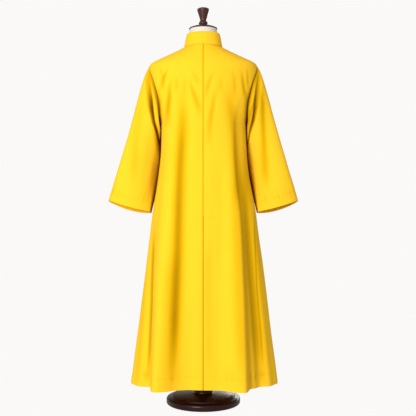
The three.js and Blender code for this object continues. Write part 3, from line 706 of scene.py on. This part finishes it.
def make_sleeve(name, side, material):
    """One sleeve's cloth from the armhole to the cuff; side is 1 at the wearer's left."""
    turn = np.arange(0, 360, SLEEVE_GRID["turn"])[None, :]
    stops = [0, SLEEVE_LENGTH - CUFF_STITCH, SLEEVE_LENGTH]
    along = (spread(stops, SLEEVE_GRID["row"]) / SLEEVE_LENGTH)[:, None]
    surface = lambda t, a: sleeve_point(side, t, a)
    points = surface(turn, along)
    normals = -side * normal_of(surface, turn, np.maximum(along, SLEEVE_STEP[1]), *SLEEVE_STEP)
    x, height = points[..., 0], points[..., 2]
    facing_back = np.clip(normals[..., 1] * FACING_EDGE, 0, 1)
    facing_front = np.clip(-normals[..., 1] * FACING_EDGE, 0, 1)
    behind = LEFT_SLEEVE_BACK if side > 0 else RIGHT_SLEEVE_BACK
    back_deep, back_tone = creases(x, height, behind, side)
    front_deep, front_tone = creases(x, height, SLEEVE_FRONT_CREASES, side)
    deep = sleeve_crease_depth(turn, along) + back_deep * facing_back + front_deep * facing_front
    tone = back_tone * facing_back + front_tone * facing_front
    # painted shade in the crease behind the sleeve's head
    darker_below = SLEEVE_CREASE_SHADE["above"] + (1 - SLEEVE_CREASE_SHADE["above"]) * ramp(turn, *SLEEVE_CREASE_SHADE["turn"])
    crease_share = np.clip(sleeve_crease_depth(turn, along) / SLEEVE_CREASE_SHADE["deepest"], 0, 1)
    tone = tone + darker_below * crease_share ** SLEEVE_CREASE_SHADE["power"] * facing_back
    # painted shade on the sleeve's side that faces the body
    inward = -side * normals[..., 0] - INNER_SIDE_SHADE["left_from" if side > 0 else "right_from"]
    tone = tone + INNER_SIDE_SHADE["dark"] * np.clip(inward / INNER_SIDE_SHADE["over"], 0, 1)
    down = run_lengths(points, 0)
    round_run = run_lengths(points, 1)
    from_cuff = down[-1:] - down
    from_stitch = from_cuff + HEM_STITCH - CUFF_STITCH
    edge_deep, edge_tone = stitched_turn_up(from_stitch, round_run, CUFF_PUCKER_SEED + side)
    roll = SEAM_ROLL
    lower = ramp(turn, roll["from"], roll["over"])
    rolled = ramp(np.sin(np.radians(turn)), roll["sine_from"], roll["sine_over"])
    rolled = rolled * bump(down - roll["below_seam"], roll["reach"] + roll["wider"] * lower)
    seam = bump(down, SLEEVE_SEAM["half_width"])
    waves = wobble(x, height, SLEEVE_WAVES["seed"] + side, *SLEEVE_WAVES["size"])
    deep = deep + edge_deep + seam + SLEEVE_WAVES["depth"] * waves + roll["depth"] * rolled
    # painted shade where the head rolls in by the seam, in the seam's groove and near the cuff's stitches
    painted_roll_shade = roll["dark"] * rolled * (roll["dark_above"] + (1 - roll["dark_above"]) * lower)
    tone = tone + edge_tone + SLEEVE_SEAM["dark"] * seam + painted_roll_shade
    deep = deep * np.clip(down / SLEEVE_SEAM["flat_within"], 0, 1)
    outer = points - normals * deep[..., None]
    angle, z = armhole_seam(side, turn[0])
    body_out = body_normal(angle, z)
    ahead, behind = armhole_seam(side, turn[0] + 1), armhole_seam(side, turn[0] - 1)
    tangent = unit(body_point(*ahead) - body_point(*behind))
    away = unit(np.cross(tangent, body_out) * side)
    settled = ramp(np.abs(180 - turn[0]), UNDERARM_EASE["from"], UNDERARM_EASE["over"])
    outer[0] += away * SLEEVE_SEAM_GAP + body_out * ((1 - settled) * SLEEVE_SEAM_GAP)[:, None]
    facing = grid_normals(outer, True)
    facing *= np.sign(np.einsum("ijk,ijk->ij", facing, normals))[..., None]
    back_lean = np.maximum(0, np.einsum("jk,jk->j", facing[0], away))
    facing[0] = unit(facing[0] - away * back_lean[:, None])
    inner = outer - facing * CLOTH
    uv = np.stack([round_run, down], -1)
    return cloth_mesh(name + "_cloth", outer, inner, tone, uv, material, name, ring=True)


# The collar's sewing; the topstitch and the collar's foot on the body are darkened with painted shade.
COLLAR_SEWING = {
    "seam": 2.2, "seam_depth": 0.3, "stitch_in": 5, "stitch": 1.3, "stitch_depth": 0.4, "stitch_dark": 0.1,
    "low_edge": 1.8, "top_edge": 1.5, "edge_depth": 0.6, "foot": 2.2, "foot_dark": 0.3,
}
COLLAR_GRID = {"columns": 181, "height": 70, "row": 4.0}


def make_collar(material):
    """The stand collar, from one side of its opening at the front round to the other."""
    opening = math.degrees(math.asin(COLLAR_OPENING / 2 / NECK["side"]))
    angle = (-90 + opening + (360 - 2 * opening) * np.linspace(0, 1, COLLAR_GRID["columns"]))[None, :]
    share = (spread([0, COLLAR_GRID["height"]], COLLAR_GRID["row"]) / COLLAR_GRID["height"])[:, None]

    def surface(a, s):
        a, s = np.broadcast_arrays(a, s)
        cos, sin = np.cos(np.radians(a)), np.sin(np.radians(a))
        upright = np.degrees(np.arcsin(np.clip(np.abs(sin), 0, 1)))
        behind = neck_at(QUARTERS["back_left"], upright)[1]
        ahead = neck_at(QUARTERS["front_left"], upright)[1]
        neck_z = np.where(sin < 0, ahead, behind)
        low = np.stack([
            NECK["side"] * cos, np.where(sin < 0, NECK["front"], NECK["back"]) * sin, neck_z + COLLAR_LIFT,
        ], -1)
        side_z, back_z, front_z = COLLAR_TOP["side_z"], COLLAR_TOP["back_z"], COLLAR_TOP["front_z"]
        top_z = side_z + (back_z - front_z) / 2 * sin + ((back_z + front_z) / 2 - side_z) * sin**2
        high = np.stack([
            COLLAR_TOP["side"] * cos, np.where(sin < 0, COLLAR_TOP["front"], COLLAR_TOP["back"]) * sin, top_z,
        ], -1)
        return low + (high - low) * s[..., None]

    points = surface(angle, share)
    normals = normal_of(surface, angle, share, *COLLAR_STEP)
    across, up = run_lengths(points, 1), run_lengths(points, 0)
    below_top = up[-1:] - up
    behind = points[..., 1] > 0
    sewing = COLLAR_SEWING
    seam = bump(points[..., 0], sewing["seam"]) * behind
    stitch = bump(below_top - sewing["stitch_in"], sewing["stitch"])
    edge = bump(up, sewing["low_edge"]) + bump(below_top, sewing["top_edge"])
    waves = wobble(points[..., 0], points[..., 2], COLLAR_WAVES["seed"], *COLLAR_WAVES["size"])
    deep = sewing["seam_depth"] * seam + sewing["stitch_depth"] * stitch + sewing["edge_depth"] * edge
    deep = deep + COLLAR_WAVES["depth"] * waves
    # painted shade in the topstitch and at the collar's foot
    tone = sewing["stitch_dark"] * stitch + sewing["foot_dark"] * bump(up, sewing["foot"])
    outer = points - normals * deep[..., None]
    inner = outer - normals * COLLAR_CLOTH
    return cloth_mesh("collar_cloth", outer, inner, tone, np.stack([across, up], -1), material, "collar")


# ---- Materials


def new_material(name):
    material = bpy.data.materials.new(name)
    material.use_nodes = True
    nodes, links = material.node_tree.nodes, material.node_tree.links
    return material, nodes, links, nodes["Principled BSDF"]


def add(nodes, kind, **settings):
    """A new node with its inputs' values and its own settings."""
    node = nodes.new(kind)
    for key, value in settings.items():
        if key in node.inputs:
            node.inputs[key].default_value = value
        else:
            setattr(node, key, value)
    return node


def mixed(nodes, links, factor, first, second):
    """A colour between two, by a factor that varies over the surface."""
    mix = add(nodes, "ShaderNodeMix", data_type="RGBA")
    links.new(factor, mix.inputs[0])
    for value, socket in ((first, mix.inputs[6]), (second, mix.inputs[7])):
        if isinstance(value, tuple):
            socket.default_value = (*value, 1)
        else:
            links.new(value, socket)
    return mix.outputs[2]


def finished(nodes, links, shader, colour, height, relief, surface):
    """Connects a shader to its colour and relief, and sets what is the same all over."""
    raised = add(nodes, "ShaderNodeBump", **relief)
    links.new(height, raised.inputs["Height"])
    links.new(raised.outputs[0], shader.inputs["Normal"])
    links.new(colour, shader.inputs["Base Color"])
    for name, value in surface.items():
        shader.inputs[name].default_value = value


FADING = {"Scale": 9.0, "Detail": 4.0}
YARN = {"Scale": 420.0, "Detail": 2.0}
SLUBS = {"From Min": 0.3, "From Max": 0.7, "To Max": 0.12}
SLUB_SHARE = 0.8
PAINTED_HUE_RANGE = {"From Max": 0.3}
THREADS = {"Distortion": 0.6, "Detail": 1.0}
WEAVE_RELIEF = {"Strength": 0.2, "Distance": 0.0002}
CLOTH_SURFACE = {
    "Specular IOR Level": 0.05, "Sheen Weight": 0.03, "Sheen Roughness": 0.5, "Sheen Tint": (1.0, 0.75, 0.2, 1),
}
GRAIN_STRETCH = (60, 60, 9)
GRAIN = {"Scale": 1.0, "Detail": 6.0, "Distortion": 1.2}
GRAIN_RELIEF = {"Strength": 0.06, "Distance": 0.0004}
LACQUER = {"Roughness": 0.34, "Specular IOR Level": 0.22, "Coat Weight": 0.1, "Coat Roughness": 0.1}


def cloth_material(name, light, dark, painted_shade_hue, deepest_painted_shade, roughness, threads=390.0):
    """Woven cloth between a light and a dark, darkened by the shade attribute with painted shade: first to a
    shaded hue, then towards the deepest painted shade.
    """
    material, nodes, links, shader = new_material(name)
    uv = add(nodes, "ShaderNodeUVMap", uv_map="weave").outputs[0]

    def fed(kind, source, socket, **settings):
        """The outputs of a new node with its source connected."""
        node = add(nodes, kind, **settings)
        links.new(source, node.inputs[socket])
        return node.outputs

    weave = add(nodes, "ShaderNodeMath", operation="ADD")
    for k, run in enumerate("XY"):
        bands = {"wave_type": "BANDS", "bands_direction": run, "Scale": threads, **THREADS}
        links.new(fed("ShaderNodeTexWave", uv, "Vector", **bands)["Fac"], weave.inputs[k])
    base = mixed(nodes, links, fed("ShaderNodeTexNoise", uv, "Vector", **FADING)["Fac"], light, dark)
    yarn = fed("ShaderNodeTexNoise", uv, "Vector", **YARN)["Fac"]
    slub = fed("ShaderNodeMapRange", yarn, "Value", **SLUBS)[0]
    threaded = mixed(nodes, links, slub, base, tuple(c * SLUB_SHARE for c in dark))
    # the shade attribute paints shade: first to a shaded hue, then to the deepest painted shade
    shade = add(nodes, "ShaderNodeAttribute", attribute_name="shade").outputs["Fac"]
    first = fed("ShaderNodeMapRange", shade, "Value", **PAINTED_HUE_RANGE)[0]
    colour = mixed(nodes, links, shade, mixed(nodes, links, first, threaded, painted_shade_hue), deepest_painted_shade)
    surface = {"Roughness": roughness, **CLOTH_SURFACE}
    finished(nodes, links, shader, colour, weave.outputs[0], WEAVE_RELIEF, surface)
    return material


def wood_material(name, light, dark):
    """Lacquered wood with an upright grain."""
    material, nodes, links, shader = new_material(name)
    stretch = add(nodes, "ShaderNodeMapping", Scale=GRAIN_STRETCH)
    links.new(add(nodes, "ShaderNodeTexCoord").outputs["Object"], stretch.inputs["Vector"])
    grain = add(nodes, "ShaderNodeTexNoise", **GRAIN)
    links.new(stretch.outputs[0], grain.inputs["Vector"])
    colour = mixed(nodes, links, grain.outputs["Fac"], dark, light)
    finished(nodes, links, shader, colour, grain.outputs["Fac"], GRAIN_RELIEF, LACQUER)
    return material


yellow = cloth_material(
    "yellow_suiting", light=(0.97, 0.566, 0.021), dark=(0.94, 0.535, 0.017), painted_shade_hue=(0.955, 0.542, 0.001),
    deepest_painted_shade=(0.1, 0.014, 0.0), roughness=0.8,
)
linen = cloth_material(
    "form_linen", light=(0.72, 0.695, 0.65), dark=(0.69, 0.665, 0.615), painted_shade_hue=(0.7, 0.67, 0.62),
    deepest_painted_shade=(0.42, 0.36, 0.28), roughness=0.85, threads=300.0,
)
button_yellow = cloth_material(
    "button_yellow", light=(0.8, 0.42, 0.010), dark=(0.72, 0.365, 0.008), painted_shade_hue=(0.75, 0.39, 0.002),
    deepest_painted_shade=(0.2, 0.08, 0.0), roughness=0.45,
)
wood = wood_material("dark_wood", light=(0.022, 0.0035, 0.0016), dark=(0.008, 0.0014, 0.0008))
knob_wood = wood_material("knob_wood", light=(0.085, 0.024, 0.017), dark=(0.036, 0.010, 0.008))


# ---- The garment


def sink_of_right_front(x):
    """How far the right front steps in to lie under the left one."""
    return UNDERLAP["depth"] * ramp(x, UNDERLAP["start"], UNDERLAP["full"] - UNDERLAP["start"])


# Upright lines of points beside the centre front, outwards from each front's own edge.
lap_strips = [-LAP, -18.8, -17.4, -15.4, -14, -12.6, -9, -4.5, 0, 4.5, 9, 14.5, LAP]
under_strips = [-LAP, -18, -14, -9, 0, 9, 16, -UNDERLAP["full"], 30, 38, 46, -UNDERLAP["start"]]
cloth_pieces = {
    "back_left": make_panel("back_left", [0], yellow),
    "back_right": make_panel("back_right", [0], yellow),
    "front_left": make_panel("front_left", lap_strips, yellow),
    "front_right": make_panel("front_right", under_strips, yellow, sink_of_right_front),
    "sleeve_left": make_sleeve("sleeve_left", 1, yellow),
    "sleeve_right": make_sleeve("sleeve_right", -1, yellow),
    "collar": make_collar(yellow),
}

# ---- Turned parts and the form


def turned(name, profile, material, segments, node, place=(0, 0, 0), turn=None):
    """A closed turned piece from radius and height, in millimetres, round the local Z axis."""
    ring = np.linspace(0, 2 * np.pi, segments, endpoint=False)
    inner = [p for p in profile if p[0] > 0]
    vertices = [(0, 0, profile[0][1])]
    for radius, z in inner:
        vertices += [(radius * math.cos(a), radius * math.sin(a), z) for a in ring]
    vertices.append((0, 0, profile[-1][1]))
    faces = []
    last = len(vertices) - 1
    for j in range(segments):
        k = (j + 1) % segments
        faces.append((0, 1 + k, 1 + j))
        for i in range(len(inner) - 1):
            a, b = 1 + i * segments, 1 + (i + 1) * segments
            faces.append((a + j, a + k, b + k, b + j))
        top = 1 + (len(inner) - 1) * segments
        faces.append((last, top + j, top + k))
    mesh = bpy.data.meshes.new(name)
    mesh.from_pydata([tuple(c / MM for c in v) for v in vertices], [], faces)
    mesh.polygons.foreach_set("use_smooth", np.ones(len(faces), bool))
    mesh.materials.append(material)
    return make_piece(name, mesh, node, place, turn)


def rounded(profile, bend=1.2, steps=3):
    """The profile with each corner cut round, at most this far from the corner."""
    points = [np.array(p, float) for p in profile]
    out = [tuple(points[0])]
    for before, here, after in zip(points[:-2], points[1:-1], points[2:]):
        back, on = before - here, after - here
        a = here + back * min(0.45, bend / max(np.linalg.norm(back), 1e-6))
        b = here + on * min(0.45, bend / max(np.linalg.norm(on), 1e-6))
        for t in np.linspace(0, 1, steps):
            out.append(tuple((1 - t) ** 2 * a + 2 * t * (1 - t) * here + t * t * b))
    out.append(tuple(points[-1]))
    return out


BASE_PROFILE = [
    (0, 0), (154, 0), (158, 4), (158, 21), (155, 25), (148, 28), (140, 28.5), (136.5, 30), (135, 34),
    (131, 36.5), (100, 39.5), (60, 42), (42, 43), (39, 46), (39, 56), (35, 60), (24, 63), (21, 70), (0, 70),
]
POLE_PROFILE = [(0, 70.3), (16, 70.3), (16, 831.7), (0, 831.7)]
CAP_PROFILE = [
    (0, 1603.3), (61, 1603.3), (62, 1604.5), (62, 1606.5), (60, 1608.5), (48, 1613.5), (30, 1619),
    (14, 1621), (0, 1621),
]
KNOB_PROFILE = [
    (0, 1621.3), (16, 1621.3), (19, 1625), (20, 1630), (18, 1635), (14, 1639), (13.5, 1643), (17, 1656),
    (23, 1675), (27, 1687), (26, 1691), (18, 1695.5), (0, 1698),
]
BUTTON_PROFILE = [(0, 0), (0.85, 0), (1, 0.3), (0.93, 0.6), (0.6, 0.9), (0, 1)]

for name, profile, bend, material, segments, node in (
    ("base_wood", BASE_PROFILE, 2.0, wood, 128, "form_base"),
    ("pole_wood", POLE_PROFILE, 1.0, wood, 48, "form_pole"),
    ("cap_wood", CAP_PROFILE, 1.5, knob_wood, 96, "form_cap"),
    ("knob_turned", KNOB_PROFILE, 3.0, knob_wood, 64, "form_knob"),
):
    turned(name, rounded(profile, bend), material, segments, node)

FORM_COLUMNS = ("z", "side", "back", "front", "square")
FORM = [
    (832, 146, 96, 90, 2.2), (846, 155, 105, 98, 2.2), (920, 160, 112, 102, 2.2), (1010, 147, 100, 98, 2.2),
    (1075, 138, 92, 96, 2.2), (1150, 144, 98, 104, 2.2), (1240, 156, 110, 112, 2.2), (1320, 172, 113, 108, 2.1),
    (1390, 192, 106, 96, 2.05), (1435, 203, 95, 82, 2), (1458, 201, 89, 73, 2),
]
FORM_NECK = [(1520, 76, 70, 58, 2), (1548, 65, 62, 59, 2), (1575, 61, 60, 59, 2), (1603, 59, 59, 59, 2)]
SEAT = {"heights": (1468, 1476, 1486, 1496, 1508), "below": CLOTH + 0.7, "slope": 24.5, "inset": 21}


FORM_GRID = {"rows": (840, 1600, 8), "near_ends": (833.5, 1601.5), "turn": 3.0}
WEAVE_RADIUS = 0.12  # metres
NECK_LINE = {"z": 1590, "half_width": 2.0, "dark": 0.55}


def form_sections():
    """The form's rows up to the top of its neck, its shoulders just under the cloth."""
    drop = SEAT["below"] / math.cos(math.radians(SEAT["slope"]))
    shoulders = [
        (z, float(body("left", z + drop)), float(body("back", z)) - SEAT["inset"],
         float(body("front", z)) - SEAT["inset"], 2)
        for z in SEAT["heights"]
    ]
    return [*FORM, *shoulders, *FORM_NECK]


form_rows = form_sections()


def form_size(column, z):
    i = FORM_COLUMNS.index(column)
    return np.interp(z, [r[0] for r in form_rows], [r[i] for r in form_rows])


def make_form(material):
    """The covered body of the dress form with its neck, closed at both ends."""
    heights = {*[row[0] for row in form_rows], *np.arange(*FORM_GRID["rows"]), *FORM_GRID["near_ends"]}
    z = np.array(sorted(heights))[:, None]
    angle = np.arange(0, 360, FORM_GRID["turn"])[None, :]
    cos, sin = np.cos(np.radians(angle)), np.sin(np.radians(angle))
    power = 2 / form_size("square", z)
    x = form_size("side", z) * np.sign(cos) * np.abs(cos) ** power
    y = np.where(sin < 0, form_size("front", z), form_size("back", z)) * np.sign(sin) * np.abs(sin) ** power
    points = np.stack([x, y, np.broadcast_to(z, x.shape)], -1)
    rows, columns = points.shape[:2]
    vertices = np.concatenate([points.reshape(-1, 3), [[0, 0, z[0, 0]], [0, 0, z[-1, 0]]]]) / MM
    index = np.arange(rows * columns).reshape(rows, columns)
    index = np.concatenate([index, index[:, :1]], 1)
    faces = np.stack([index[:-1, :-1], index[:-1, 1:], index[1:, 1:], index[1:, :-1]], -1)
    faces = faces.reshape(-1, 4).tolist()
    low, high = rows * columns, rows * columns + 1
    faces += [(low, int(b), int(a)) for a, b in zip(index[0, :-1], index[0, 1:])]
    faces += [(high, int(a), int(b)) for a, b in zip(index[-1, :-1], index[-1, 1:])]
    mesh = bpy.data.meshes.new("form_linen_body")
    mesh.from_pydata(vertices.tolist(), [], faces)
    run = np.broadcast_arrays(np.radians(angle) * WEAVE_RADIUS, z / MM)
    run = np.concatenate([np.stack(run, -1).reshape(-1, 2), [[0, 0], [0, 0]]])
    tone = NECK_LINE["dark"] * bump(vertices[:, 2] * MM - NECK_LINE["z"], NECK_LINE["half_width"])
    dress(mesh, tone, run, material)
    return make_piece("form_linen_body", mesh, "form_body")


make_form(linen)

# ---- Buttons down the left front


def make_button(number):
    z = BUTTON["top_z"] - (number - 1) * BUTTON["spacing"]
    angle = QUARTERS["front_left"]["angle"](90.0)
    low, high = body_point(angle, z - BUTTON["radius"]), body_point(angle, z + BUTTON["radius"])
    seat = (low + high) / 2
    along = unit(high - low)
    outward = np.cross([1, 0, 0], along)
    outward = outward if outward[1] < 0 else -outward
    place = seat + outward * BUTTON["standoff"]
    lean = math.atan2(outward[2], -outward[1])
    turn = (math.cos((math.pi / 2 - lean) / 2), math.sin((math.pi / 2 - lean) / 2), 0, 0)
    scaled = [(r * BUTTON["radius"], h * BUTTON["height"]) for r, h in BUTTON_PROFILE]
    name = f"button_{number:02d}"
    turned(name + "_dome", rounded(scaled, 1.2), button_yellow, 32, name, place, turn)


for number in range(1, BUTTON["count"] + 1):
    make_button(number)

# ---- Floor, background and light

BACKDROP = (0.955, 0.947, 0.931)
FLOOR = {"half": 20, "below": 0.0005}  # metres


def emission(name, colour):
    material = bpy.data.materials.new(name)
    material.use_nodes = True
    nodes, links = material.node_tree.nodes, material.node_tree.links
    nodes.remove(nodes["Principled BSDF"])
    glow = nodes.new("ShaderNodeEmission")
    glow.inputs["Color"].default_value = (*colour, 1)
    glow.inputs["Strength"].default_value = 1.0
    links.new(glow.outputs[0], nodes["Material Output"].inputs["Surface"])
    return material


floor_mesh = bpy.data.meshes.new("floor")
floor_corners = [(x * FLOOR["half"], y * FLOOR["half"], 0) for x, y in ((-1, -1), (1, -1), (1, 1), (-1, 1))]
floor_mesh.from_pydata(floor_corners, [], [(0, 1, 2, 3)])
floor_mesh.materials.append(emission("pale_floor", BACKDROP))
floor = placed("floor", floor_mesh)
floor.location = (0, 0, -FLOOR["below"])
floor.visible_diffuse = False
floor.visible_shadow = False
floor.visible_glossy = False

world = bpy.data.worlds.new("world")
world.use_nodes = True
nodes, links = world.node_tree.nodes, world.node_tree.links
seen = nodes["Background"]
seen.inputs["Color"].default_value = (*BACKDROP, 1)
seen.inputs["Strength"].default_value = 1.0
fill = nodes.new("ShaderNodeBackground")
fill.inputs["Color"].default_value = (1.0, 0.99, 0.97, 1)
fill.inputs["Strength"].default_value = 0.54
path = nodes.new("ShaderNodeLightPath")
choose = nodes.new("ShaderNodeMixShader")
links.new(path.outputs["Is Camera Ray"], choose.inputs[0])
links.new(fill.outputs[0], choose.inputs[1])
links.new(seen.outputs[0], choose.inputs[2])
links.new(choose.outputs[0], nodes["World Output"].inputs["Surface"])
bpy.context.scene.world = world


def area_light(name, place, target, size, watts):
    """A square soft light at a place in metres, turned to its target."""
    data = bpy.data.lights.new(name, "AREA")
    data.shape = "RECTANGLE"
    data.size = data.size_y = size
    data.energy = watts
    obj = placed(name, data)
    obj.location = place
    obj.rotation_mode = "QUATERNION"
    obj.rotation_quaternion = (Vector(target) - Vector(place)).to_track_quat("-Z", "Y")


area_light("key", (1.5, 3.75, 1.5), target=(0, 0, 0.8), size=1.5, watts=156)
area_light("front_key", (-1.3, -3.7, 2.0), target=(0, 0, 0.85), size=2.2, watts=130)

bpy.context.scene.view_settings.view_transform = "Standard"
bpy.context.scene.view_settings.look = "None"
